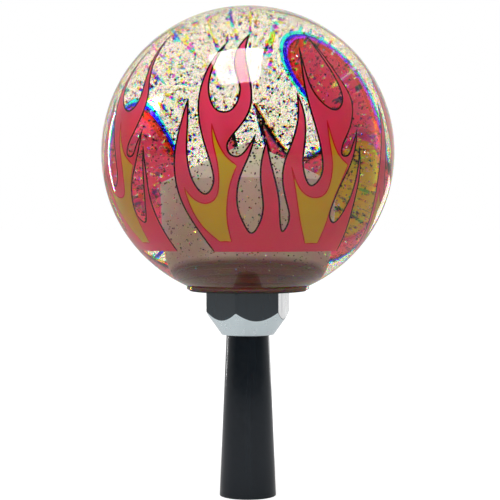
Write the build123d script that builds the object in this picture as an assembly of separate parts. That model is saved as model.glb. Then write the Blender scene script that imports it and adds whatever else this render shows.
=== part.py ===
from build123d import *
import math
import os

# A ball gear shift knob on the top of its lever: a cast clear resin ball with four printed flame
# films under its skin, bonded round a metal insert, screwed down the lever's thread by a reducing
# bushing and locked from below by a hexagonal jam nut.
# Millimetres, +Z up along the lever. The origin is the centre of the lever's lower end.

# ---- driving dimensions ------------------------------------------------------------------------

BALL_DIAMETER = 54.0
COAT_THICKNESS = 0.9  # clear resin poured over the films
FILM_THICKNESS = 0.08
FOOT_RIM = 0.9  # resin round the insert in the flat foot under the ball
FOOT_HEIGHT = 0.6  # how far the foot stands out where it meets the ball's curve

LEVER_LENGTH = 30.0  # from the lower end to the underside of the jam nut
LEVER_BASE_DIAMETER = 10.5
SHANK_UNDERCUT = 0.1  # how much thinner the shank's top is than the thread, on the diameter
SHANK_ENTRY = 0.3  # how far the shank reaches up inside the jam nut

THREAD_DIAMETER = 8.0  # lever thread, coarse
THREAD_PITCH = 1.25
KNOB_THREAD_DIAMETER = 16.0  # insert thread, fine
KNOB_THREAD_PITCH = 1.5

NUT_ACROSS_FLATS = 13.75
NUT_HEIGHT = 8.1
NUT_NOSE_WALL = 0.55  # round the counterbore, at the small end of the nut's cone
NUT_CONE_ANGLE = 35.3  # degrees from the axis
NUT_CORNER_ANGLE = 13.9  # degrees from +X to a corner
NUT_TOP_CHAMFER = 0.25
NUT_DROP = 2.5  # how far the nut runs down the lever: two turns

WASHER_INSET = 0.5  # how far the washer's edge lies inside the foot's
WASHER_THICKNESS = 0.3

INSERT_WALL = 2.4  # outside its thread
INSERT_HOLE_SPARE = 2.2  # hole left above the bushing
INSERT_CROWN = 2.1  # from the hole's full depth up to the cone's edge
INSERT_CONE_RISE = 4.9
GROOVE_COUNT = 3  # rings round the insert that key it into the resin
GROOVE_WIDTH = 1.0
GROOVE_DEPTH = 0.5
GROOVE_SPACING = 2.4

BUSHING_LENGTH = 17.0
BUSHING_RECESS = 0.3  # how far the bushing sits inside the insert's mouth
STUD_ENGAGEMENT = 15.5  # lever thread inside the bushing

THREAD_CLEARANCE = 0.04  # radial, between two threads' pitch cylinders
WASHER_CLEARANCE = 0.25  # radial, round the lever's thread
BOND_CLEARANCE = 0.02  # radial, the bond line round the insert
FILM_CLEARANCE = 0.01  # radial, above and below each film
COUNTERBORE_CLEARANCE = 0.35  # radial, between the nut's lower bore and the shank's top
COUNTERBORE_SPARE = 0.2  # axial, over the shank with the nut run down

# Each film's turn round the ball, and how far its drawing's equator lies below the ball's, in degrees.
# They are laid by hand, and the rear one went on a little high and short of its quarter.
FILM_PLACES = ((0.0, 2.4), (90.0, 2.4), (176.0, -0.6), (270.0, 2.4))
FLAME_BASE_LATITUDE = -39.0  # degrees, the films' straight lower edge

# ---- sizes that follow -------------------------------------------------------------------------

INSERT_DIAMETER = KNOB_THREAD_DIAMETER + 2 * INSERT_WALL
INSERT_HOLE_DEPTH = BUSHING_RECESS + BUSHING_LENGTH + INSERT_HOLE_SPARE
FOOT_DIAMETER = INSERT_DIAMETER + 2 * FOOT_RIM
WASHER_DIAMETER = FOOT_DIAMETER - 2 * WASHER_INSET
LEVER_TOP_DIAMETER = THREAD_DIAMETER - SHANK_UNDERCUT
COUNTERBORE_DIAMETER = LEVER_TOP_DIAMETER + 2 * COUNTERBORE_CLEARANCE
NUT_NOSE_DIAMETER = COUNTERBORE_DIAMETER + 2 * NUT_NOSE_WALL

NUT_TOP = LEVER_LENGTH + NUT_HEIGHT
FOOT_UNDERSIDE = NUT_TOP + WASHER_THICKNESS
BALL_RADIUS = BALL_DIAMETER / 2
BALL_CENTRE = FOOT_UNDERSIDE + FOOT_HEIGHT + math.sqrt(BALL_RADIUS**2 - (FOOT_DIAMETER / 2) ** 2)
BUSHING_UNDERSIDE = FOOT_UNDERSIDE + BUSHING_RECESS
STUD_TOP = BUSHING_UNDERSIDE + STUD_ENGAGEMENT


def pitch_radius(diameter, pitch):
    """Radius of an ISO thread's pitch cylinder, where both threads are half metal."""
    return (diameter - 0.6495 * pitch) / 2


LEVER_THREAD_RADIUS = pitch_radius(THREAD_DIAMETER, THREAD_PITCH)
KNOB_THREAD_RADIUS = pitch_radius(KNOB_THREAD_DIAMETER, KNOB_THREAD_PITCH)


def turned(points):
    """Solid of revolution about Z from (radius, height) points."""
    face = make_face(Polyline(*[(r, 0, z) for r, z in points], close=True))
    return revolve(face, Axis.Z)


def rod(radius, bottom, top):
    return Pos(0, 0, bottom) * Cylinder(radius, top - bottom, align=(Align.CENTER, Align.CENTER, Align.MIN))


# ---- lever -------------------------------------------------------------------------------------


def make_lever():
    """Tapered shank with a plain pitch cylinder for its thread, chamfered at the top."""
    base = LEVER_BASE_DIAMETER / 2
    taper = (base - LEVER_TOP_DIAMETER / 2) / LEVER_LENGTH
    shoulder = LEVER_LENGTH + SHANK_ENTRY
    stud = LEVER_THREAD_RADIUS - THREAD_CLEARANCE / 2
    lead = THREAD_PITCH / 2
    return turned(
        [
            (0, 0),
            (base, 0),
            (base - taper * shoulder, shoulder),
            (stud, shoulder),
            (stud, STUD_TOP - lead),
            (stud - lead, STUD_TOP),
            (0, STUD_TOP),
        ]
    )


# ---- jam nut -----------------------------------------------------------------------------------


def make_jam_nut():
    """Hexagon cut by a cone below, which leaves a scalloped edge, and by a small chamfer above."""
    corner = NUT_ACROSS_FLATS / 2 / math.cos(math.pi / 6)
    hexagon = RegularPolygon(corner, 6, rotation=NUT_CORNER_ANGLE)
    prism = Pos(0, 0, LEVER_LENGTH) * extrude(hexagon, NUT_HEIGHT)
    nose = NUT_NOSE_DIAMETER / 2
    wide = nose + NUT_HEIGHT * math.tan(math.radians(NUT_CONE_ANGLE))
    edge = corner - NUT_TOP_CHAMFER
    reach = (wide - edge) * math.tan(math.pi / 6)
    envelope = turned(
        [(0, LEVER_LENGTH), (nose, LEVER_LENGTH), (wide, NUT_TOP - reach), (edge, NUT_TOP), (0, NUT_TOP)]
    )
    bore = rod(LEVER_THREAD_RADIUS + THREAD_CLEARANCE / 2, LEVER_LENGTH, NUT_TOP)
    counterbore_top = LEVER_LENGTH + SHANK_ENTRY + NUT_DROP + COUNTERBORE_SPARE
    counterbore = rod(COUNTERBORE_DIAMETER / 2, LEVER_LENGTH, counterbore_top)
    return (prism & envelope) - bore - counterbore


# ---- washer under the foot ---------------------------------------------------------------------


def make_foot_washer():
    hole = THREAD_DIAMETER / 2 + WASHER_CLEARANCE
    return rod(WASHER_DIAMETER / 2, NUT_TOP, FOOT_UNDERSIDE) - rod(hole, NUT_TOP, FOOT_UNDERSIDE)


# ---- reducing bushing --------------------------------------------------------------------------


def make_adapter_bushing():
    """Sleeve with the lever's thread inside and the insert's thread outside."""
    outer = KNOB_THREAD_RADIUS - THREAD_CLEARANCE / 2
    inner = LEVER_THREAD_RADIUS + THREAD_CLEARANCE / 2
    lead = KNOB_THREAD_PITCH / 2
    top = BUSHING_UNDERSIDE + BUSHING_LENGTH
    return turned(
        [
            (inner + lead / 2, BUSHING_UNDERSIDE),
            (outer - lead, BUSHING_UNDERSIDE),
            (outer, BUSHING_UNDERSIDE + lead),
            (outer, top - lead),
            (outer - lead, top),
            (inner, top),
            (inner, BUSHING_UNDERSIDE + lead / 2),
        ]
    )


# ---- insert in the ball ------------------------------------------------------------------------


def insert_outline(radius, cone_rise):
    """Solid outside of the insert: a straight wall from the foot up, closed by a blunt cone."""
    wall_top = FOOT_UNDERSIDE + INSERT_HOLE_DEPTH + INSERT_CROWN
    return turned(
        [(0, FOOT_UNDERSIDE), (radius, FOOT_UNDERSIDE), (radius, wall_top), (0, wall_top + cone_rise)]
    )


def make_threaded_insert():
    radius = INSERT_DIAMETER / 2
    body = insert_outline(radius, INSERT_CONE_RISE)
    hole = KNOB_THREAD_RADIUS + THREAD_CLEARANCE / 2
    hole_top = FOOT_UNDERSIDE + INSERT_HOLE_DEPTH
    drill_point = hole * math.tan(math.radians(31))
    body -= turned(
        [(0, FOOT_UNDERSIDE), (hole, FOOT_UNDERSIDE), (hole, hole_top), (0, hole_top + drill_point)]
    )
    for ring in range(GROOVE_COUNT):
        low = FOOT_UNDERSIDE + GROOVE_SPACING * (ring + 1)
        body -= rod(radius + GROOVE_DEPTH, low, low + GROOVE_WIDTH) - rod(
            radius - GROOVE_DEPTH, low, low + GROOVE_WIDTH
        )
    return body


# ---- resin ball: inner casting and clear coat --------------------------------------------------

FILM_INNER_RADIUS = BALL_RADIUS - COAT_THICKNESS - FILM_CLEARANCE - FILM_THICKNESS
FILM_OUTER_RADIUS = FILM_INNER_RADIUS + FILM_THICKNESS
CORE_RADIUS = FILM_INNER_RADIUS - FILM_CLEARANCE
COAT_INNER_RADIUS = FILM_OUTER_RADIUS + FILM_CLEARANCE


def ball(radius):
    return Pos(0, 0, BALL_CENTRE) * Sphere(radius)


def insert_pocket():
    return insert_outline(INSERT_DIAMETER / 2 + BOND_CLEARANCE, INSERT_CONE_RISE + BOND_CLEARANCE)


def make_resin_core():
    """Inner casting, which the insert is bonded into."""
    above = rod(BALL_DIAMETER, FOOT_UNDERSIDE, BALL_CENTRE + BALL_DIAMETER)
    return (ball(CORE_RADIUS) & above) - insert_pocket()


def make_clear_coat():
    """Outer shell over the films, with the flat foot as part of it."""
    above = rod(BALL_DIAMETER, FOOT_UNDERSIDE + FOOT_HEIGHT, BALL_CENTRE + BALL_DIAMETER)
    foot = rod(FOOT_DIAMETER / 2, FOOT_UNDERSIDE, FOOT_UNDERSIDE + 2 * FOOT_HEIGHT)
    return (ball(BALL_RADIUS) & above) + foot - ball(COAT_INNER_RADIUS) - insert_pocket()


# ---- flame films -------------------------------------------------------------------------------

# One film's outline in degrees of longitude and latitude on the ball, clockwise from its lower left
# corner. Each run is a smooth curve, and neighbouring runs meet in a flame's tip.
FLAME_RUNS = [
    [(-17, -39), (-23, -27), (-27, -17), (-28.5, -7), (-28, 2), (-26, 12), (-24, 22)],
    [(-24, 22), (-23, 12), (-23, 2), (-22, -6), (-20, -11), (-16.5, -14), (-13.5, -11), (-13.3, -5),
     (-16, 4), (-18.5, 13), (-19.5, 23), (-18, 33), (-15, 41), (-11, 47)],
    [(-11, 47), (-14.5, 38), (-16, 28), (-14.5, 21), (-11, 16.8), (-7, 16.8), (-4, 20.5), (-3.3, 27),
     (-5.5, 34), (-5.5, 42), (1, 52)],
    [(1, 52), (-1, 43), (0, 34), (1.5, 25), (1, 18), (-2, 12), (-6, 7), (-7.5, 3.5), (-6, 0.5),
     (-3.5, 0), (-0.5, 2.5), (3, 8)],
    [(3, 8), (0.5, 0), (-2.5, -7), (-4, -14), (-3.7, -20), (-1.5, -26), (1.7, -30), (4.8, -26),
     (6, -18), (4.8, -9), (5.2, -1), (7, 6)],
    [(7, 6), (8.3, -1), (10.5, -9), (12.5, -17), (14, -26), (15.5, -29.3), (17, -26.5), (16, -19),
     (13.3, -10), (13.5, -3), (16, 4), (19, 13), (20, 24)],
    [(20, 24), (22, 16), (22, 8), (21, -1), (22, -7), (25, -10.8), (28.3, -8), (29, -2), (27, 8),
     (24.5, 19), (24, 30), (27, 45)],
    [(27, 45), (26, 35), (27, 26), (31, 20), (36.5, 17.8), (40.5, 21), (41, 28), (38.5, 38), (36, 54)],
    [(36, 54), (40, 40), (43.5, 30), (46, 22), (44.5, 15), (40.5, 8), (38, 3.7), (38, 0.8), (40.3, 0.5),
     (42.8, 3.8), (44.4, 6.8), (46, 10)],
    [(46, 10), (44.6, 3), (41.8, -4), (38.3, -11), (36.3, -18), (36.7, -23.5), (39.5, -25.5), (43, -21),
     (45.5, -12), (47, 4)],
    [(47, 4), (48, -6), (48, -17), (49.5, -28), (52, -39)],
]
FLAME_AXIS = (12, 0)  # longitude and latitude of the outline's middle


def direction(longitude, latitude):
    """Unit vector from the ball's centre; longitude 0 points along -Y and 90 along +X."""
    a, b = math.radians(longitude), math.radians(latitude)
    return Vector(math.cos(b) * math.sin(a), -math.cos(b) * math.cos(a), math.sin(b))


def flame_wire(distance, drop):
    """The outline seen from the ball's centre, on a plane that far out along the film's axis."""
    middle = direction(*FLAME_AXIS)

    def on_plane(point):
        ray = direction(point[0], point[1] - drop)
        return Vector(0, 0, BALL_CENTRE) + ray * (distance / ray.dot(middle))

    left, right = FLAME_RUNS[0][0][0], FLAME_RUNS[-1][-1][0]
    steps = 4
    base = [(right + (left - right) * i / steps, FLAME_BASE_LATITUDE) for i in range(steps + 1)]
    return Wire([Edge.make_spline([on_plane(p) for p in run]) for run in [*FLAME_RUNS, base]])


def make_flame_film(turn, drop):
    """Thin spherical patch: the cone of rays through the outline, cut from a shell."""
    outlines = [flame_wire(distance, drop) for distance in (CORE_RADIUS / 3, BALL_RADIUS)]
    cone = Solid.make_loft(outlines, ruled=True)
    shell = ball(FILM_OUTER_RADIUS) - ball(FILM_INNER_RADIUS)
    return (shell & cone).rotate(Axis.Z, turn)


# ---- write the pieces --------------------------------------------------------------------------

PIECES = {
    "lever": make_lever(),
    "jam_nut": make_jam_nut(),
    "foot_washer": make_foot_washer(),
    "adapter_bushing": make_adapter_bushing(),
    "threaded_insert": make_threaded_insert(),
    "resin_core": make_resin_core(),
    "clear_coat": make_clear_coat(),
}
for number, place in enumerate(FILM_PLACES, 1):
    PIECES[f"flame_film_{number}"] = make_flame_film(*place)

os.makedirs("parts", exist_ok=True)
for node, shape in PIECES.items():
    export_step(shape, f"parts/{node}.step")
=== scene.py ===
import math

import bpy
import numpy as np
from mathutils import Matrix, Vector
from mathutils.geometry import delaunay_2d_cdt


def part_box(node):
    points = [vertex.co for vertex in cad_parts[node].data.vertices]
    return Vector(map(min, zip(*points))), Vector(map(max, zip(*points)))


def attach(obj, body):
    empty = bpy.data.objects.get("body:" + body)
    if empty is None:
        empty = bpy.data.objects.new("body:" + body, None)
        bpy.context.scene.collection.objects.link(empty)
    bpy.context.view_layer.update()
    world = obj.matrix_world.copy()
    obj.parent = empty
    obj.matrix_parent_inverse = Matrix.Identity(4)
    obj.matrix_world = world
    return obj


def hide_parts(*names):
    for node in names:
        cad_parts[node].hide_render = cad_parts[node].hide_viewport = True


# A ball gear shift knob on the top of its lever. Metres, +Z up along the lever, front towards -Y.

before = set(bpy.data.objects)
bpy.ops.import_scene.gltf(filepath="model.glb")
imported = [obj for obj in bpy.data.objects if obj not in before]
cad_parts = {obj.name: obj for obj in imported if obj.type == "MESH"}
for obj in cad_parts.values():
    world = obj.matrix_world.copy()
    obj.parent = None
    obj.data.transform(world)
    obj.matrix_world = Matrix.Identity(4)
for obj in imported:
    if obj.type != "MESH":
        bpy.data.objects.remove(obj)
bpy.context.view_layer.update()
MM = 0.001

# ---- lever ---------------------------------------------------------------------------------------
# The tapered steel rod that the driver's hand moves, turned, ground and sprayed gloss black. It is
# cut square at its lower end; its top steps down to the thread that the nut and the knob run on.

_, LEVER_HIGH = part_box("lever")
NUT_LOW, NUT_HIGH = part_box("jam_nut")
LEVER_FOOT_RADIUS = LEVER_HIGH.x
LEVER_NECK_RADIUS = 3.95 * MM
SHANK_ENTRY = 0.3 * MM
LEVER_EDGE = 0.12 * MM
AROUND = 128


def mesh_piece(name, points, faces, material=None, smooth_below=40):
    """A mesh object from an (n, 3) array and a list of faces, smooth except over creases that are
    sharper than smooth_below degrees."""
    mesh = bpy.data.meshes.new(name)
    mesh.from_pydata(np.asarray(points, float).tolist(), [], faces)
    mesh.update()
    mesh.shade_smooth()
    mesh.set_sharp_from_angle(angle=math.radians(smooth_below))
    if material:
        mesh.materials.append(material)
    piece = bpy.data.objects.new(name, mesh)
    bpy.context.scene.collection.objects.link(piece)
    return piece


def grid_faces(rows, columns, close_rows=False):
    """Quads of a grid that is closed along its columns, and along its rows where asked. Point (i, j)
    has the number i * columns + j."""
    last = rows if close_rows else rows - 1
    i, j = np.meshgrid(np.arange(last), np.arange(columns), indexing="ij")
    up, on = (i + 1) % rows, (j + 1) % columns
    quads = np.stack([i * columns + j, i * columns + on, up * columns + on, up * columns + j], -1)
    return quads.reshape(-1, 4).tolist()


def rounded(profile, radius, steps=4):
    """A profile with each inner corner cut back by radius and bridged by a quadratic curve."""
    profile = np.asarray(profile, float)
    out = [profile[0]]
    for before, corner, after in zip(profile[:-2], profile[1:-1], profile[2:]):
        back, on = before - corner, after - corner
        cut = min(radius, 0.45 * np.linalg.norm(back), 0.45 * np.linalg.norm(on))
        start = corner + back / np.linalg.norm(back) * cut
        end = corner + on / np.linalg.norm(on) * cut
        for t in np.linspace(0, 1, steps + 1):
            out.append((1 - t) ** 2 * start + 2 * t * (1 - t) * corner + t**2 * end)
    out.append(profile[-1])
    return np.array(out)


def turned(name, profile, material=None, around=AROUND, loop=False, smooth_below=40):
    """Surface of revolution about Z. The profile is (radius, height) rows, listed with the solid on
    the left. A profile that ends on the axis closes there in a fan; a loop closes on itself."""
    profile = np.asarray(profile, float)
    angle = np.linspace(0, 2 * math.pi, around, endpoint=False)
    body = profile[profile[:, 0] > 1e-9]
    points = np.stack(
        [
            body[:, :1] * np.cos(angle),
            body[:, :1] * np.sin(angle),
            np.repeat(body[:, 1:], around, axis=1),
        ],
        -1,
    ).reshape(-1, 3)
    faces = grid_faces(len(body), around, close_rows=loop)
    ring = np.arange(around)
    if not loop:
        last = (len(body) - 1) * around
        tips = len(points)
        points = np.vstack([points, [0, 0, profile[0, 1]], [0, 0, profile[-1, 1]]])
        faces += [[tips, (j + 1) % around, j] for j in ring.tolist()]
        faces += [[tips + 1, last + j, last + (j + 1) % around] for j in ring.tolist()]
    return mesh_piece(name, points, faces, material, smooth_below)


def principled(name, **sockets):
    """A material whose Principled shader has these plain values on its own sockets."""
    material = bpy.data.materials.new(name)
    material.use_nodes = True
    shader = material.node_tree.nodes["Principled BSDF"]
    for socket, value in sockets.items():
        shader.inputs[socket.replace("_", " ")].default_value = value
    return material, material.node_tree, shader


def object_noise(tree, scale, stretch=(1, 1, 1), detail=4.0):
    """Noise in the piece's own coordinates, stretched along its axes."""
    place = tree.nodes.new("ShaderNodeTexCoord")
    mapping = tree.nodes.new("ShaderNodeMapping")
    mapping.inputs["Scale"].default_value = stretch
    noise = tree.nodes.new("ShaderNodeTexNoise")
    noise.inputs["Scale"].default_value = scale
    noise.inputs["Detail"].default_value = detail
    tree.links.new(place.outputs["Object"], mapping.inputs["Vector"])
    tree.links.new(mapping.outputs["Vector"], noise.inputs["Vector"])
    return noise


def spread(tree, factor, low, high, socket, from_low=0.35, from_high=0.65):
    """Sends a 0 to 1 value to a socket as low to high."""
    ramp = tree.nodes.new("ShaderNodeMapRange")
    ramp.inputs["From Min"].default_value = from_low
    ramp.inputs["From Max"].default_value = from_high
    ramp.inputs["To Min"].default_value = low
    ramp.inputs["To Max"].default_value = high
    tree.links.new(factor, ramp.inputs["Value"])
    tree.links.new(ramp.outputs["Result"], socket)


def bump(tree, shader, height, strength, distance):
    """Height in the shader's normal, by so many metres."""
    node = tree.nodes.new("ShaderNodeBump")
    node.inputs["Strength"].default_value = strength
    node.inputs["Distance"].default_value = distance
    tree.links.new(height, node.inputs["Height"])
    tree.links.new(node.outputs["Normal"], shader.inputs["Normal"])


def mixed_colour(tree, factor, one, other, socket):
    """A colour between two, by a 0 to 1 value."""
    mix = tree.nodes.new("ShaderNodeMix")
    mix.data_type = "RGBA"
    mix.inputs["A"].default_value = (*one, 1)
    mix.inputs["B"].default_value = (*other, 1)
    tree.links.new(factor, mix.inputs["Factor"])
    tree.links.new(mix.outputs["Result"], socket)


lever_paint, tree, shader = principled(
    "gloss_black_paint", Roughness=0.16, Specular_IOR_Level=0.32, Coat_Weight=0.15, Coat_Roughness=0.05
)
streaks = object_noise(tree, 700, (1, 1, 0.03))
LEVER_BLACK = (0.002, 0.005, 0.008), (0.009, 0.014, 0.020)
mixed_colour(tree, streaks.outputs["Fac"], *LEVER_BLACK, shader.inputs["Base Color"])
peel = object_noise(tree, 900)
spread(tree, peel.outputs["Fac"], 0.12, 0.24, shader.inputs["Roughness"])
bump(tree, shader, peel.outputs["Fac"], 0.25, 0.02 * MM)

shank_top = NUT_LOW.z + SHANK_ENTRY
shank = turned(
    "lever_shank",
    rounded(
        [
            (0, 0),
            (LEVER_FOOT_RADIUS, 0),
            (LEVER_NECK_RADIUS, shank_top),
            (0, shank_top),
        ],
        LEVER_EDGE,
    ),
    lever_paint,
)
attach(shank, "lever")
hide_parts("lever")

# ---- lever thread --------------------------------------------------------------------------------
# The M8 coarse thread rolled on the lever's top, bare steel. Nut and bushing run on it, so it shows
# only when the knob is screwed up or the nut is run down.

THREAD_PITCH = 1.25 * MM
THREAD_CREST = 3.92 * MM
THREAD_ROOT = 3.24 * MM
THREAD_STEPS = 12  # rows in one turn's height


def thread_wave(height, angle, pitch):
    """A trapezoid wave from 0 to 1 whose phase falls by one over a turn and rises by one over a
    pitch, which makes a right-hand helix."""
    phase = (height / pitch - angle / (2 * math.pi)) % 1
    return np.clip(1.5 - 4 * np.abs(phase - 0.5) * 0.8, 0, 1)


def thread_grid(low, high, root, crest, pitch, runout):
    """Radius at (height, angle): the thread's wave between root and crest, which fades to the root
    over the runout at each end."""
    height = np.arange(low, high, pitch / THREAD_STEPS)
    height = np.append(height, high)
    angle = np.linspace(0, 2 * math.pi, AROUND, endpoint=False)
    z, a = np.meshgrid(height, angle, indexing="ij")
    wave = thread_wave(z, a, pitch)
    fade = np.clip(np.minimum(z - low, high - z) / runout, 0, 1)
    radius = root + (crest - root) * wave * fade
    return np.stack([radius * np.cos(a), radius * np.sin(a), z], -1)


def capped(name, grid, material, low_centre, high_centre):
    """A tube of rings closed by a fan at each end."""
    rows, columns, _ = grid.shape
    tips = rows * columns
    points = np.vstack([grid.reshape(-1, 3), low_centre, high_centre])
    faces = grid_faces(rows, columns)
    last = tips - columns
    faces += [[tips, (j + 1) % columns, j] for j in range(columns)]
    faces += [[tips + 1, last + j, last + (j + 1) % columns] for j in range(columns)]
    return mesh_piece(name, points, faces, material, 50)


bare_steel, tree, shader = principled("bare_steel", Metallic=1.0, Roughness=0.3)
worn = object_noise(tree, 1500, (1, 1, 0.4))
mixed_colour(tree, worn.outputs["Fac"], (0.30, 0.31, 0.32), (0.52, 0.52, 0.52), shader.inputs["Base Color"])
spread(tree, worn.outputs["Fac"], 0.22, 0.42, shader.inputs["Roughness"])
bump(tree, shader, worn.outputs["Fac"], 0.3, 0.01 * MM)

stud_grid = thread_grid(shank_top, LEVER_HIGH.z, THREAD_ROOT, THREAD_CREST, THREAD_PITCH, 0.9 * MM)
stud = capped("lever_thread", stud_grid, bare_steel, [0, 0, shank_top], [0, 0, LEVER_HIGH.z])
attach(stud, "lever")

# ---- jam nut -------------------------------------------------------------------------------------
# A hexagonal nut, coated black and then turned to a cone at its lower end, which bares the metal and
# leaves a scalloped edge on the flats. It is run up hard against the washer to lock the knob.

NUT_FLATS = 13.75 * MM
NUT_CORNER_ANGLE = math.radians(13.9)
NUT_NOSE_RADIUS = 4.85 * MM
NUT_CONE_ANGLE = math.radians(35.3)
NUT_TOP_CHAMFER = 0.25 * MM
NUT_EDGE = 0.10 * MM  # the roundness of its edges
NUT_THREAD_ROOT = 4.02 * MM
NUT_THREAD_CREST = 3.42 * MM
COUNTERBORE_RADIUS = 4.3 * MM
COUNTERBORE_DEPTH = 3.0 * MM


def soft_least(a, b, blend):
    """The smaller of two lengths, with the corner between them rounded by about blend."""
    gap = np.clip(0.5 + 0.5 * (b - a) / blend, 0, 1)
    return b * (1 - gap) + a * gap - blend * gap * (1 - gap)


def nut_outline(height, angle):
    """Radius of the outside: the least of the hexagon, the cone that widens from the nose, and the
    chamfer that widens down from the top. Also the cone's share: positive where it has cut."""
    sector = (angle - NUT_CORNER_ANGLE) % (math.pi / 3) - math.pi / 6
    flat = NUT_FLATS / 2 / np.cos(sector)
    corner = NUT_FLATS / 2 / math.cos(math.pi / 6)
    hexagon = soft_least(flat, corner - NUT_EDGE * 0.35, NUT_EDGE * 1.2)
    cone = NUT_NOSE_RADIUS + (height - NUT_LOW.z) * math.tan(NUT_CONE_ANGLE)
    top = corner - NUT_TOP_CHAMFER + (NUT_HIGH.z - height) * math.tan(math.radians(60))
    outside = soft_least(soft_least(hexagon, cone, NUT_EDGE), top, NUT_EDGE)
    return outside, hexagon - cone


nut_black, tree, shader = principled(
    "black_nut_with_turned_cone",
    Specular_IOR_Level=0.2,
    Coat_Weight=0.7,
    Coat_Roughness=0.10,
    Coat_IOR=1.8,
)
bare = tree.nodes.new("ShaderNodeAttribute")
bare.attribute_name = "bare"
edge = tree.nodes.new("ShaderNodeMapRange")
edge.inputs["From Min"].default_value = -0.02
edge.inputs["From Max"].default_value = 0.02
tree.links.new(bare.outputs["Fac"], edge.inputs["Value"])
lathe_marks = object_noise(tree, 900, (0.05, 0.05, 6.0))
mill_marks = object_noise(tree, 700, (2.0, 2.0, 0.15))
metal = tree.nodes.new("ShaderNodeMix")
metal.data_type = "RGBA"
NUT_COATING = (0.0005, 0.010, 0.017), (0.003, 0.018, 0.028)
NUT_METAL = (0.80, 0.95, 1.0), (0.90, 1.0, 1.0)
mixed_colour(tree, mill_marks.outputs["Fac"], *NUT_COATING, metal.inputs["A"])
mixed_colour(tree, lathe_marks.outputs["Fac"], *NUT_METAL, metal.inputs["B"])
tree.links.new(edge.outputs["Result"], metal.inputs["Factor"])
tree.links.new(metal.outputs["Result"], shader.inputs["Base Color"])
tree.links.new(edge.outputs["Result"], shader.inputs["Metallic"])
spread(tree, mill_marks.outputs["Fac"], 0.26, 0.42, shader.inputs["Roughness"])
bump(tree, shader, mill_marks.outputs["Fac"], 0.2, 0.01 * MM)

nut_columns = 480
nut_angle = np.linspace(0, 2 * math.pi, nut_columns, endpoint=False)
nut_heights = np.linspace(NUT_LOW.z, NUT_HIGH.z, 80)
z, a = np.meshgrid(nut_heights, nut_angle, indexing="ij")
nut_radius, cut = nut_outline(z, a)
outside = np.stack([nut_radius * np.cos(a), nut_radius * np.sin(a), z], -1)
counterbore_top = NUT_LOW.z + COUNTERBORE_DEPTH


def nut_ring(radius, height):
    """One flat circle of points, as one row of the nut's grid."""
    heights = np.full(nut_columns, height)
    return np.stack([radius * np.cos(nut_angle), radius * np.sin(nut_angle), heights], -1)[None]


nut_thread_heights = np.arange(
    NUT_HIGH.z - 0.3 * MM, counterbore_top + 0.1 * MM, -THREAD_PITCH / THREAD_STEPS
)
z_in, a_in = np.meshgrid(nut_thread_heights, nut_angle, indexing="ij")
wave = thread_wave(z_in, a_in, THREAD_PITCH)
inner = NUT_THREAD_CREST + (NUT_THREAD_ROOT - NUT_THREAD_CREST) * wave
inside = np.stack([inner * np.cos(a_in), inner * np.sin(a_in), z_in], -1)
nut_grid = np.concatenate(
    [
        outside,
        nut_ring(NUT_THREAD_ROOT + 0.25 * MM, NUT_HIGH.z),
        inside,
        nut_ring(NUT_THREAD_ROOT, counterbore_top),
        nut_ring(COUNTERBORE_RADIUS, counterbore_top),
        nut_ring(COUNTERBORE_RADIUS, NUT_LOW.z),
    ]
)
nut = mesh_piece(
    "nut", nut_grid.reshape(-1, 3), grid_faces(len(nut_grid), nut_columns, close_rows=True), nut_black, 55
)
share = np.full(nut_grid.shape[:2], -1.0)
share[: len(nut_heights)] = cut / MM
share[-3:] = 1.0
bare_attribute = nut.data.attributes.new("bare", "FLOAT", "POINT")
bare_attribute.data.foreach_set("value", share.ravel().astype(np.float32))
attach(nut, "nut")
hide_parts("jam_nut")

# ---- foot washer ---------------------------------------------------------------------------------
# A thin ring cut from black rubber sheet, squeezed between the nut and the ball's foot so that the
# nut can't chip the resin.

WASHER_LOW, WASHER_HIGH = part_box("foot_washer")
WASHER_HOLE = 4.25 * MM

washer_rubber, tree, shader = principled("black_rubber", Roughness=0.7, Specular_IOR_Level=0.3)
grain = object_noise(tree, 2500)
RUBBER_BLACK = (0.018, 0.016, 0.015), (0.045, 0.040, 0.038)
mixed_colour(tree, grain.outputs["Fac"], *RUBBER_BLACK, shader.inputs["Base Color"])
bump(tree, shader, grain.outputs["Fac"], 0.5, 0.02 * MM)

washer = turned(
    "washer",
    rounded(
        [
            (WASHER_HIGH.x - 0.3 * MM, WASHER_LOW.z),
            (WASHER_HIGH.x, WASHER_LOW.z),
            (WASHER_HIGH.x, WASHER_HIGH.z),
            (WASHER_HOLE, WASHER_HIGH.z),
            (WASHER_HOLE, WASHER_LOW.z),
            (WASHER_HIGH.x - 0.3 * MM, WASHER_LOW.z),
        ],
        0.08 * MM,
    )[:-1],
    washer_rubber,
    loop=True,
)
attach(washer, "washer")
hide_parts("foot_washer")

# ---- adapter bushing -----------------------------------------------------------------------------
# The turned brass sleeve that takes the knob's fine thread down to the lever's. It sits inside the
# insert, and only its lower face shows, when the knob is screwed up.

bushing_brass, tree, shader = principled("turned_brass", Metallic=1.0, Roughness=0.25)
rings = object_noise(tree, 1200, (0.2, 0.2, 4.0))
mixed_colour(tree, rings.outputs["Fac"], (0.52, 0.36, 0.14), (0.74, 0.56, 0.27), shader.inputs["Base Color"])
spread(tree, rings.outputs["Fac"], 0.18, 0.34, shader.inputs["Roughness"])
bump(tree, shader, rings.outputs["Fac"], 0.3, 0.01 * MM)
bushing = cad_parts["adapter_bushing"]
bushing.data.materials.clear()
bushing.data.materials.append(bushing_brass)

# ---- threaded insert -----------------------------------------------------------------------------
# The cone-topped metal plug that the resin is cast round, with three grooves that key it. Its fine
# thread takes the bushing. The ball's lens shows it half as big again as it is. Its lower part is
# painted a dark reddish brown: painted shade under the flame films, tinted red by their light.

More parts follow.
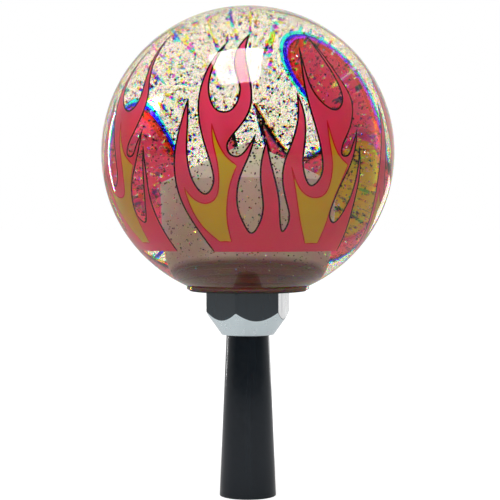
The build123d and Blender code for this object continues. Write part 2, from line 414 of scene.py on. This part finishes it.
INSERT_LOW, INSERT_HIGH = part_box("threaded_insert")
INSERT_RADIUS = INSERT_HIGH.x
INSERT_WALL_TOP = INSERT_LOW.z + 21.6 * MM
INSERT_HOLE_RADIUS = 7.53 * MM
INSERT_HOLE_TOP = INSERT_LOW.z + 19.5 * MM
DRILL_POINT = 4.5 * MM
GROOVE_SPACING, GROOVE_WIDTH, GROOVE_DEPTH, GROOVES = 2.4 * MM, 1.0 * MM, 0.5 * MM, 3
cone_rise = INSERT_HIGH.z - INSERT_WALL_TOP


def cone_points(radius, inset, count=12):
    """Points up the blunt cone to the axis, moved straight down from the insert's own by inset."""
    out = np.linspace(radius, 0, count)
    return np.stack([out, INSERT_HIGH.z - inset - cone_rise * out / INSERT_RADIUS], -1)


insert_metal, tree, shader = principled("satin_bronze_with_painted_shade", Metallic=0.55, Roughness=0.5, Specular_IOR_Level=0.5)
satin = object_noise(tree, 260, (1.0, 1.0, 0.35), 6.0)
# Painted shade: below a set height the insert takes a dark reddish brown for the shade under the films and
# the red light they throw; above it, its own taupe.
place = tree.nodes.new("ShaderNodeTexCoord")
split = tree.nodes.new("ShaderNodeSeparateXYZ")
tree.links.new(place.outputs["Object"], split.inputs["Vector"])
above = tree.nodes.new("ShaderNodeMapRange")
above.inputs["From Min"].default_value = INSERT_LOW.z + 8.6 * MM
above.inputs["From Max"].default_value = INSERT_LOW.z + 9.8 * MM
tree.links.new(split.outputs["Z"], above.inputs["Value"])
painted_shade_mix = tree.nodes.new("ShaderNodeMix")
painted_shade_mix.data_type = "RGBA"
mixed_colour(tree, satin.outputs["Fac"], (0.108, 0.039, 0.033), (0.170, 0.063, 0.053), painted_shade_mix.inputs["A"])
mixed_colour(tree, satin.outputs["Fac"], (0.44, 0.405, 0.375), (0.58, 0.545, 0.515), painted_shade_mix.inputs["B"])
tree.links.new(above.outputs["Result"], painted_shade_mix.inputs["Factor"])
tree.links.new(painted_shade_mix.outputs["Result"], shader.inputs["Base Color"])
fine = object_noise(tree, 2200)
spread(tree, fine.outputs["Fac"], 0.38, 0.6, shader.inputs["Roughness"])
bump(tree, shader, fine.outputs["Fac"], 0.35, 0.01 * MM)

wall = [(INSERT_RADIUS - 0.2 * MM, INSERT_LOW.z), (INSERT_RADIUS, INSERT_LOW.z + 0.2 * MM)]
for ring in range(GROOVES):
    low = INSERT_LOW.z + GROOVE_SPACING * (ring + 1)
    wall += [
        (INSERT_RADIUS, low),
        (INSERT_RADIUS - GROOVE_DEPTH, low),
        (INSERT_RADIUS - GROOVE_DEPTH, low + GROOVE_WIDTH),
        (INSERT_RADIUS, low + GROOVE_WIDTH),
    ]
insert_profile = np.vstack(
    [
        rounded(
            [
                (0, INSERT_HOLE_TOP + DRILL_POINT),
                (INSERT_HOLE_RADIUS, INSERT_HOLE_TOP),
                (INSERT_HOLE_RADIUS, INSERT_LOW.z + 0.4 * MM),
                (INSERT_HOLE_RADIUS + 0.4 * MM, INSERT_LOW.z),
                *wall,
                (INSERT_RADIUS, INSERT_WALL_TOP),
                (INSERT_RADIUS * 0.98, INSERT_HIGH.z - cone_rise * 0.98),
            ],
            0.12 * MM,
        ),
        cone_points(INSERT_RADIUS * 0.97, 0),
    ]
)
insert = turned("insert", insert_profile, insert_metal, around=192)
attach(insert, "knob")
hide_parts("threaded_insert")

# ---- resin ball ----------------------------------------------------------------------------------
# The ball is cast in clear resin in two pours, inner and skin, which join without a trace, so one
# clear body stands for both. Its flat foot is moulded on. Its pocket is cut a little smaller than the
# insert, so that no clear face shows between resin and metal.

BALL_LOW, BALL_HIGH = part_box("clear_coat")
BALL_RADIUS = (BALL_HIGH.x - BALL_LOW.x) / 2
BALL_CENTRE = BALL_HIGH.z - BALL_RADIUS
FOOT_RADIUS = 11.3 * MM
POCKET_RADIUS = 9.5 * MM
POCKET_INSET = 0.9 * MM

resin = bpy.data.materials.new("clear_resin")
resin.use_nodes = True
tree = resin.node_tree
tree.nodes.remove(tree.nodes["Principled BSDF"])
shares = []
for tint, bend in (((0.95, 0, 0), 1.550), ((0, 0.91, 0), 1.560), ((0, 0, 0.82), 1.574)):
    share = tree.nodes.new("ShaderNodeBsdfGlass")
    share.inputs["Color"].default_value = (*tint, 1)
    share.inputs["Roughness"].default_value = 0.0
    share.inputs["IOR"].default_value = bend
    shares.append(share.outputs["BSDF"])
pair = tree.nodes.new("ShaderNodeAddShader")
whole = tree.nodes.new("ShaderNodeAddShader")
tree.links.new(shares[0], pair.inputs[0])
tree.links.new(shares[1], pair.inputs[1])
tree.links.new(pair.outputs["Shader"], whole.inputs[0])
tree.links.new(shares[2], whole.inputs[1])
tree.links.new(whole.outputs["Shader"], tree.nodes["Material Output"].inputs["Surface"])

skin_angle = np.linspace(0, math.pi - math.asin(FOOT_RADIUS / BALL_RADIUS), 200)
skin = np.stack([BALL_RADIUS * np.sin(skin_angle), BALL_CENTRE + BALL_RADIUS * np.cos(skin_angle)], -1)
foot = rounded(
    [
        skin[-1],
        (FOOT_RADIUS, BALL_LOW.z),
        (INSERT_RADIUS + 0.05 * MM, BALL_LOW.z),
        (INSERT_RADIUS - 0.1 * MM, BALL_LOW.z + 0.1 * MM),
        (POCKET_RADIUS, BALL_LOW.z + 0.15 * MM),
    ],
    0.12 * MM,
)
pocket = cone_points(POCKET_RADIUS, POCKET_INSET)
ball = turned("resin_ball", np.vstack([skin[1:-1], foot, pocket])[::-1], resin, around=256, smooth_below=50)
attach(ball, "knob")
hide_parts("resin_core", "clear_coat")

# ---- flame films ---------------------------------------------------------------------------------
# Four thin printed films laid on the inner casting before the skin is poured. Each is one flame with
# a red ground, two yellow hearts and a black pinstripe round its edge, printed on both faces.

FILM_RADIUS = 26.05 * MM
FILM_HALF = 0.040 * MM
# Degrees that each film is turned round the ball, and that its drawing's equator lies below the ball's
FILM_PLACES = ((0, 2.4), (90, 2.4), (176.0, -0.6), (270, 2.4))
LINE_WIDTH = 0.30 * MM
BORDER_WIDTH = 0.24 * MM
FLAME_BASE_LATITUDE = -39
LATTICE_STEP = 1.8  # degrees between the points that keep a film's faces small
LATTICE_CLEARANCE = 0.7  # degrees from those points to any drawn line

# One flame's outline in degrees of longitude and latitude, clockwise from its lower left corner.
# Each run is a smooth curve, and neighbouring runs meet in a tip.
FLAME_RUNS = [
    [(-17, -39), (-23, -27), (-27, -17), (-28.5, -7), (-28, 2), (-26, 12), (-24, 22)],
    [(-24, 22), (-23, 12), (-23, 2), (-22, -6), (-20, -11), (-16.5, -14), (-13.5, -11), (-13.3, -5),
     (-16, 4), (-18.5, 13), (-19.5, 23), (-18, 33), (-15, 41), (-11, 47)],
    [(-11, 47), (-14.5, 38), (-16, 28), (-14.5, 21), (-11, 16.8), (-7, 16.8), (-4, 20.5), (-3.3, 27),
     (-5.5, 34), (-5.5, 42), (1, 52)],
    [(1, 52), (-1, 43), (0, 34), (1.5, 25), (1, 18), (-2, 12), (-6, 7), (-7.5, 3.5), (-6, 0.5),
     (-3.5, 0), (-0.5, 2.5), (3, 8)],
    [(3, 8), (0.5, 0), (-2.5, -7), (-4, -14), (-3.7, -20), (-1.5, -26), (1.7, -30), (4.8, -26),
     (6, -18), (4.8, -9), (5.2, -1), (7, 6)],
    [(7, 6), (8.3, -1), (10.5, -9), (12.5, -17), (14, -26), (15.5, -29.3), (17, -26.5), (16, -19),
     (13.3, -10), (13.5, -3), (16, 4), (19, 13), (20, 24)],
    [(20, 24), (22, 16), (22, 8), (21, -1), (22, -7), (25, -10.8), (28.3, -8), (29, -2), (27, 8),
     (24.5, 19), (24, 30), (27, 45)],
    [(27, 45), (26, 35), (27, 26), (31, 20), (36.5, 17.8), (40.5, 21), (41, 28), (38.5, 38), (36, 54)],
    [(36, 54), (40, 40), (43.5, 30), (46, 22), (44.5, 15), (40.5, 8), (38, 3.7), (38, 0.8), (40.3, 0.5),
     (42.8, 3.8), (44.4, 6.8), (46, 10)],
    [(46, 10), (44.6, 3), (41.8, -4), (38.3, -11), (36.3, -18), (36.7, -23.5), (39.5, -25.5), (43, -21),
     (45.5, -12), (47, 4)],
    [(47, 4), (48, -6), (48, -17), (49.5, -28), (52, -39)],
]
# The two yellow hearts, drawn in the same way: three tips and a flat foot each.
HEART_RUNS = [
    [
        [(-13.5, 12), (-11, 5), (-8, 0), (-4, -3.5)],
        [(-4, -3.5), (-6.5, -10), (-8, -17), (-8.5, -25), (-7.5, -34)],
        [(-7.5, -34), (-13, -34)],
        [(-13, -34), (-19, -28), (-23, -20), (-25, -11.5)],
        [(-25, -11.5), (-21.5, -16), (-17, -17.8), (-12.8, -16), (-11, -11), (-11.3, -2), (-13, 6),
         (-13.5, 12)],
    ],
    [
        [(31.5, 13.5), (33.5, 6), (36, 1), (41, -3)],
        [(41, -3), (38.5, -9), (36, -17), (35.5, -26), (35, -35)],
        [(35, -35), (28, -35)],
        [(28, -35), (23, -26), (19, -14), (16.5, -4)],
        [(16.5, -4), (19, -10), (22.5, -14), (26.7, -15.5), (31, -14.5), (33.3, -9), (33.4, -2), (32, 6),
         (31.5, 13.5)],
    ],
]


def smooth_run(knots, step=0.55):
    """A natural cubic spline through the knots, with the chord length as its parameter, sampled
    every step degrees. The second derivatives come from the usual tridiagonal system."""
    knots = np.asarray(knots, float)
    if len(knots) == 2:
        count = max(2, int(np.linalg.norm(knots[1] - knots[0]) / step))
        return knots[0] + np.linspace(0, 1, count)[:, None] * (knots[1] - knots[0])
    chord = np.linalg.norm(np.diff(knots, axis=0), axis=1)
    at = np.concatenate([[0], np.cumsum(chord)])
    system = np.eye(len(knots))
    right = np.zeros_like(knots)
    for k in range(1, len(knots) - 1):
        system[k, k - 1 : k + 2] = chord[k - 1], 2 * (chord[k - 1] + chord[k]), chord[k]
        slopes = (knots[k + 1] - knots[k]) / chord[k] - (knots[k] - knots[k - 1]) / chord[k - 1]
        right[k] = 6 * slopes
    second = np.linalg.solve(system, right)
    t = np.linspace(0, at[-1], int(at[-1] / step) + 2)
    k = np.clip(np.searchsorted(at, t, side="right") - 1, 0, len(chord) - 1)
    h, u, v = chord[k][:, None], (t - at[k])[:, None], (at[k + 1] - t)[:, None]
    return (
        (second[k] * v**3 + second[k + 1] * u**3) / (6 * h)
        + (knots[k] / h - second[k] * h / 6) * v
        + (knots[k + 1] / h - second[k + 1] * h / 6) * u
    )


def closed_outline(runs):
    """The runs end to end, each without its last point."""
    return np.vstack([smooth_run(run)[:-1] for run in runs])


def on_ball(degrees, radius, turn, drop):
    """Points at a longitude and latitude on a sphere round the ball's centre. The drawing's own zero
    lies turn degrees round from -Y and drop degrees below the equator."""
    lon, lat = np.radians(degrees[:, 0] + turn), np.radians(degrees[:, 1] - drop)
    return np.stack(
        [
            radius * np.cos(lat) * np.sin(lon),
            -radius * np.cos(lat) * np.cos(lon),
            BALL_CENTRE + radius * np.sin(lat),
        ],
        -1,
    )


def ribbon(run, width, outside):
    """A run's line as quads in degrees: the path moved to each side by a reach that swells from the
    tips, with a share of the width outside the flame. Returns points and quads."""
    path = smooth_run(run)
    scale = np.cos(np.radians(path[:, 1]))
    along = np.gradient(path, axis=0) * np.stack([scale, np.ones(len(path))], -1)
    along /= np.linalg.norm(along, axis=1)[:, None]
    right = np.stack([along[:, 1] / scale, -along[:, 0]], -1)
    walked = np.concatenate([[0], np.cumsum(np.linalg.norm(np.diff(path, axis=0), axis=1))])
    ends = np.minimum(walked, walked[-1] - walked)
    reach = (math.degrees(width / FILM_RADIUS) * np.clip(0.5 + ends / 4, 0, 1))[:, None]
    points = np.vstack([path - right * reach * outside, path + right * reach * (1 - outside)])
    i = np.arange(len(path) - 1)
    count = len(path)
    return points, np.stack([i, i + count, i + 1 + count, i + 1], -1)


def printed_pattern():
    """Triangles of one film in degrees, and the ink of each: 0 red, 1 yellow, 2 border, 3 black. Every
    outline and line is a constraint, and a triangle has the last ink that was printed over it."""
    base = [(x, FLAME_BASE_LATITUDE) for x in np.linspace(FLAME_RUNS[-1][-1][0], FLAME_RUNS[0][0][0], 40)]
    points, faces, inks = [], [], []

    def add(new_points, new_faces, ink):
        start = sum(len(block) for block in points)
        points.append(np.asarray(new_points, float))
        for face in new_faces:
            x, y = points[-1][np.asarray(face)].T
            area = np.sum(x * np.roll(y, -1) - y * np.roll(x, -1))
            face = [start + int(k) for k in face]
            faces.append(face if area > 0 else face[::-1])
        inks.extend([ink] * len(new_faces))

    flame = closed_outline([*FLAME_RUNS, base])
    add(flame, [list(range(len(flame)))], 0)
    for runs in HEART_RUNS:
        heart = closed_outline(runs)
        add(heart, [list(range(len(heart)))], 1)
        for run in runs:
            add(*ribbon(run, BORDER_WIDTH, 0.5), 2)
    for run in FLAME_RUNS:
        add(*ribbon(run, LINE_WIDTH, 0.35), 3)
    low, high = flame.min(0), flame.max(0)
    x, y = np.meshgrid(
        np.arange(low[0], high[0], LATTICE_STEP), np.arange(low[1], high[1], LATTICE_STEP)
    )
    x[1::2] += LATTICE_STEP / 2
    lattice = np.stack([x.ravel(), y.ravel()], -1)
    drawn = np.vstack(points)
    near = np.hypot(lattice[:, :1] - drawn[:, 0], lattice[:, 1:] - drawn[:, 1]).min(axis=1)
    everything = [Vector(p) for p in np.vstack([drawn, lattice[near > LATTICE_CLEARANCE]])]
    made, _, triangles, _, _, sources = delaunay_2d_cdt(everything, [], faces, 1, 1e-5)
    order = np.array(inks)
    ink = np.array([order[source].max() for source in sources])
    made, triangles = np.array(made), np.array(triangles)
    used = np.unique(triangles)
    renumber = np.zeros(len(made), int)
    renumber[used] = np.arange(len(used))
    return made[used], renumber[triangles], ink


def film_solid(name, degrees, triangles, ink, place, inks):
    """A patch of ball skin with a thickness: one face outside, one inside, and walls round the rim.
    Each face has its triangle's ink, outside and in."""
    corners = degrees[triangles]
    first, second = corners[:, 1] - corners[:, 0], corners[:, 2] - corners[:, 0]
    clockwise = first[:, 0] * second[:, 1] - first[:, 1] * second[:, 0] < 0
    triangles = np.where(clockwise[:, None], triangles[:, ::-1], triangles)
    sides = np.vstack([triangles[:, [0, 1]], triangles[:, [1, 2]], triangles[:, [2, 0]]])
    known = {tuple(side) for side in sides.tolist()}
    rim = [(a, b) for a, b in sides.tolist() if (b, a) not in known]
    count = len(degrees)
    faces_out = on_ball(degrees, FILM_RADIUS + FILM_HALF, *place)
    faces_in = on_ball(degrees, FILM_RADIUS - FILM_HALF, *place)
    points = np.vstack([faces_out, faces_in])
    faces = triangles.tolist() + (triangles[:, ::-1] + count).tolist()
    faces += [[b, a, a + count, b + count] for a, b in rim]
    piece = mesh_piece(name, points, faces)
    for material in inks:
        piece.data.materials.append(material)
    numbers = np.concatenate([ink, ink, np.full(len(rim), 3)]).astype(np.int32)
    piece.data.polygons.foreach_set("material_index", numbers)
    return piece


def printed_ink(name, dark, light, roughness, clearness):
    """Ink on film: two shades in a soft cloud, a fine grain, and the light that it lets through."""
    material, tree, shader = principled(
        name, Roughness=roughness, Specular_IOR_Level=0.3, Transmission_Weight=clearness, IOR=1.03
    )
    cloud = object_noise(tree, 120)
    mixed_colour(tree, cloud.outputs["Fac"], dark, light, shader.inputs["Base Color"])
    grain = object_noise(tree, 3000)
    spread(tree, grain.outputs["Fac"], roughness - 0.08, roughness + 0.08, shader.inputs["Roughness"])
    return material


film_inks = [
    printed_ink("red_ink", (0.95, 0.066, 0.195), (0.99, 0.094, 0.255), 0.4, 0.60),
    printed_ink("yellow_ink", (0.70, 0.48, 0.010), (0.84, 0.60, 0.020), 0.4, 0.40),
    printed_ink("crimson_ink", (0.66, 0.012, 0.020), (0.76, 0.016, 0.028), 0.4, 0.5),
    printed_ink("black_ink", (0.004, 0.002, 0.002), (0.009, 0.004, 0.004), 0.4, 0.0),
]
pattern_points, pattern_triangles, pattern_ink = printed_pattern()
for number, place in enumerate(FILM_PLACES):
    film = film_solid(
        f"flame_print_{number + 1}", pattern_points, pattern_triangles, pattern_ink, place, film_inks
    )
    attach(film, "knob")
    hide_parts(f"flame_film_{number + 1}")

# ---- metal flake ---------------------------------------------------------------------------------
# Thousands of small foil flakes stirred into the inner casting, each a flat diamond here. Most are
# coloured near black, a painted shade for the dark specks they show against a bright room; some
# flash silver, and some are holographic and flash a colour.

FLAKE_COUNT = 11000
FLAKE_THICKNESS = 0.02 * MM
FLAKE_SMALL, FLAKE_LARGE = 0.12 * MM, 0.23 * MM
FLAKE_REACH = 25.7 * MM
PAINTED_DARK_SHARE = 0.66
PLAIN_SHARE = 0.86  # dark and silver together; the rest are holographic
rng = np.random.default_rng(54)

tries = rng.uniform(-1, 1, (FLAKE_COUNT * 4, 3)) * FLAKE_REACH
distance = np.linalg.norm(tries, axis=1)
from_axis = np.linalg.norm(tries[:, :2], axis=1)
height = tries[:, 2] + BALL_CENTRE
above_insert = height > INSERT_HIGH.z + 0.5 * MM - cone_rise * from_axis / INSERT_RADIUS
clear = (from_axis > INSERT_RADIUS + 0.4 * MM) | above_insert
keep = (distance < FLAKE_REACH) & clear & (height > BALL_LOW.z + 1.2 * MM)
middles = (tries + np.array([0, 0, BALL_CENTRE]))[keep][:FLAKE_COUNT]
count = len(middles)
normal = rng.normal(size=(count, 3))
normal /= np.linalg.norm(normal, axis=1)[:, None]
across = np.cross(normal, rng.normal(size=(count, 3)))
across /= np.linalg.norm(across, axis=1)[:, None]
other = np.cross(normal, across)
size = rng.uniform(FLAKE_SMALL, FLAKE_LARGE, (count, 1))
lift = normal * FLAKE_THICKNESS / 2
flake_points = np.stack(
    [across * size, other * size, -across * size, -other * size, lift, -lift], 1
) + middles[:, None]
flake_points = flake_points.reshape(-1, 3)
upper = [[0, 1, 4], [1, 2, 4], [2, 3, 4], [3, 0, 4]]
diamond = np.array(upper + [[b, a, 5] for a, b, _ in upper])
flake_faces = (diamond[None] + 6 * np.arange(count)[:, None, None]).reshape(-1, 3).tolist()

flake_foil, tree, shader = principled("metal_flake", Metallic=1.0, Roughness=0.22)
tone = tree.nodes.new("ShaderNodeAttribute")
tone.attribute_name = "flake_colour"
tree.links.new(tone.outputs["Color"], shader.inputs["Base Color"])

flakes = mesh_piece("metal_flake", flake_points, flake_faces, flake_foil, 20)
hue = rng.uniform(0, 2 * math.pi, count)
rainbow = 0.5 + 0.5 * np.cos(hue[:, None] + np.array([0, 2.09, 4.19]))
kind = rng.uniform(0, 1, count)[:, None]
silver = rng.uniform(0.5, 0.95, (count, 1)) * np.array([1.0, 0.97, 0.9])
# Painted shade: these foil flakes are coloured near black to stand for the dark look they have against a
# bright room.
dark = rng.uniform(0.004, 0.05, (count, 1)) * np.array([1.0, 0.9, 0.85])
bright = np.where(kind < PLAIN_SHARE, silver, rainbow * 0.8 + 0.05)
colour = np.where(kind < PAINTED_DARK_SHARE, dark, bright)
paint = flakes.data.attributes.new("flake_colour", "FLOAT_COLOR", "POINT")
rgba = np.ones((count * 6, 4), np.float32)
rgba[:, :3] = np.repeat(colour, 6, axis=0)
paint.data.foreach_set("color", rgba.ravel())
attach(flakes, "knob")

# ---- studio --------------------------------------------------------------------------------------
# A white room: a pale floor, and a white surround that polished pieces mirror dimmer in front than
# behind. A softbox hangs above and in front, a narrow strip stands behind on the left, and a small
# card low behind on the right whitens the one flat of the nut that mirrors it.

ROOM_FOR_MATT = 0.72
ROOM_BEHIND, ROOM_IN_FRONT = 0.85, 0.10


def ray_share(tree, *kinds):
    """1 for rays of these kinds, else 0."""
    path = tree.nodes.new("ShaderNodeLightPath")
    total = path.outputs[kinds[0]]
    for kind in kinds[1:]:
        most = tree.nodes.new("ShaderNodeMath")
        most.operation = "MAXIMUM"
        tree.links.new(total, most.inputs[0])
        tree.links.new(path.outputs[kind], most.inputs[1])
        total = most.outputs["Value"]
    return total


def choose(tree, factor, no, yes):
    """One shader where the factor is 0 and the other where it is 1."""
    mix = tree.nodes.new("ShaderNodeMixShader")
    tree.links.new(factor, mix.inputs["Fac"])
    tree.links.new(no, mix.inputs[1])
    tree.links.new(yes, mix.inputs[2])
    return mix.outputs["Shader"]


def floor_shade(tree, albedo, strength):
    """A matt floor that also glows a little."""
    matt = tree.nodes.new("ShaderNodeBsdfDiffuse")
    matt.inputs["Color"].default_value = (*albedo, 1)
    glow = tree.nodes.new("ShaderNodeEmission")
    glow.inputs["Strength"].default_value = strength
    both = tree.nodes.new("ShaderNodeAddShader")
    tree.links.new(matt.outputs["BSDF"], both.inputs[0])
    tree.links.new(glow.outputs["Emission"], both.inputs[1])
    return both.outputs["Shader"]


floor_material = bpy.data.materials.new("pale_floor")
floor_material.use_nodes = True
tree = floor_material.node_tree
tree.nodes.remove(tree.nodes["Principled BSDF"])
plain = floor_shade(tree, (0.40, 0.40, 0.40), 0.74)
mirrored = floor_shade(tree, (0.22, 0.22, 0.23), 0.28)
through = floor_shade(tree, (0.36, 0.35, 0.34), 0.64)
matt = floor_shade(tree, (0.50, 0.50, 0.50), 0.0)
shown = choose(tree, ray_share(tree, "Is Glossy Ray"), matt, mirrored)
shown = choose(tree, ray_share(tree, "Is Transmission Ray"), shown, through)
shown = choose(tree, ray_share(tree, "Is Camera Ray"), shown, plain)
tree.links.new(shown, tree.nodes["Material Output"].inputs["Surface"])
FLOOR_HALF = 2.0
floor_corners = [(x * FLOOR_HALF, y * FLOOR_HALF, 0) for x, y in ((-1, -1), (1, -1), (1, 1), (-1, 1))]
floor = mesh_piece("floor", floor_corners, [[0, 1, 2, 3]], floor_material)

world = bpy.data.worlds.new("white_room")
bpy.context.scene.world = world
world.use_nodes = True
tree = world.node_tree
shown = tree.nodes["Background"]
shown.inputs["Color"].default_value = (1, 1, 1, 1)
shown.inputs["Strength"].default_value = 1.0
matt = tree.nodes.new("ShaderNodeBackground")
matt.inputs["Strength"].default_value = ROOM_FOR_MATT
matt.inputs["Color"].default_value = (1, 1, 1, 1)
mirrored = tree.nodes.new("ShaderNodeBackground")
mirrored.inputs["Color"].default_value = (1, 1, 1, 1)
heading = tree.nodes.new("ShaderNodeTexCoord")
split = tree.nodes.new("ShaderNodeSeparateXYZ")
tree.links.new(heading.outputs["Generated"], split.inputs["Vector"])
spread(tree, split.outputs["Y"], ROOM_IN_FRONT, ROOM_BEHIND, mirrored.inputs["Strength"], -0.4, 1.0)
seen = choose(
    tree, ray_share(tree, "Is Glossy Ray"), matt.outputs["Background"], mirrored.outputs["Background"]
)
straight = ray_share(tree, "Is Camera Ray", "Is Transmission Ray")
seen = choose(tree, straight, seen, shown.outputs["Background"])
tree.links.new(seen, tree.nodes["World Output"].inputs["Surface"])


def soft_light(name, width, depth, place, target, energy):
    """A rectangular lamp that faces the target and doesn't show itself to the camera."""
    lamp = bpy.data.lights.new(name, "AREA")
    lamp.shape = "RECTANGLE"
    lamp.size, lamp.size_y = width, depth
    lamp.energy = energy
    holder = bpy.data.objects.new(name, lamp)
    holder.location = place
    holder.rotation_euler = (Vector(target) - Vector(place)).to_track_quat("-Z", "Y").to_euler()
    holder.visible_camera = False
    bpy.context.scene.collection.objects.link(holder)


soft_light("softbox", 0.29, 0.34, (-0.065, -0.225, 0.58), (-0.065, -0.2249, 0), 3.6)
soft_light("strip", 0.010, 0.13, (-0.22, 0.21, 0.07), (0, 0, 0.06), 0.07)
soft_light("far_card", 0.055, 0.045, (0.125, 0.2165, 0.0235), (0, 0, 0.034), 0.016)

# ---- camera --------------------------------------------------------------------------------------
# 0.3 m away and level with the lower half of the ball, with the ball in the upper part of the frame.

CAMERA_PLACE = Vector((0.0004, -0.300, 0.0565))
CAMERA_AIM = Vector((0.0004, 0, 0.0456))
camera_data = bpy.data.cameras.new("camera")
camera_data.sensor_width = 36
camera_data.lens = 116.7
camera_data.clip_start, camera_data.clip_end = 0.01, 20
camera = bpy.data.objects.new("camera", camera_data)
bpy.context.scene.collection.objects.link(camera)
camera.location = CAMERA_PLACE
camera.rotation_euler = (CAMERA_AIM - CAMERA_PLACE).to_track_quat("-Z", "Y").to_euler()
bpy.context.scene.camera = camera
bpy.context.scene.view_settings.view_transform = "Standard"
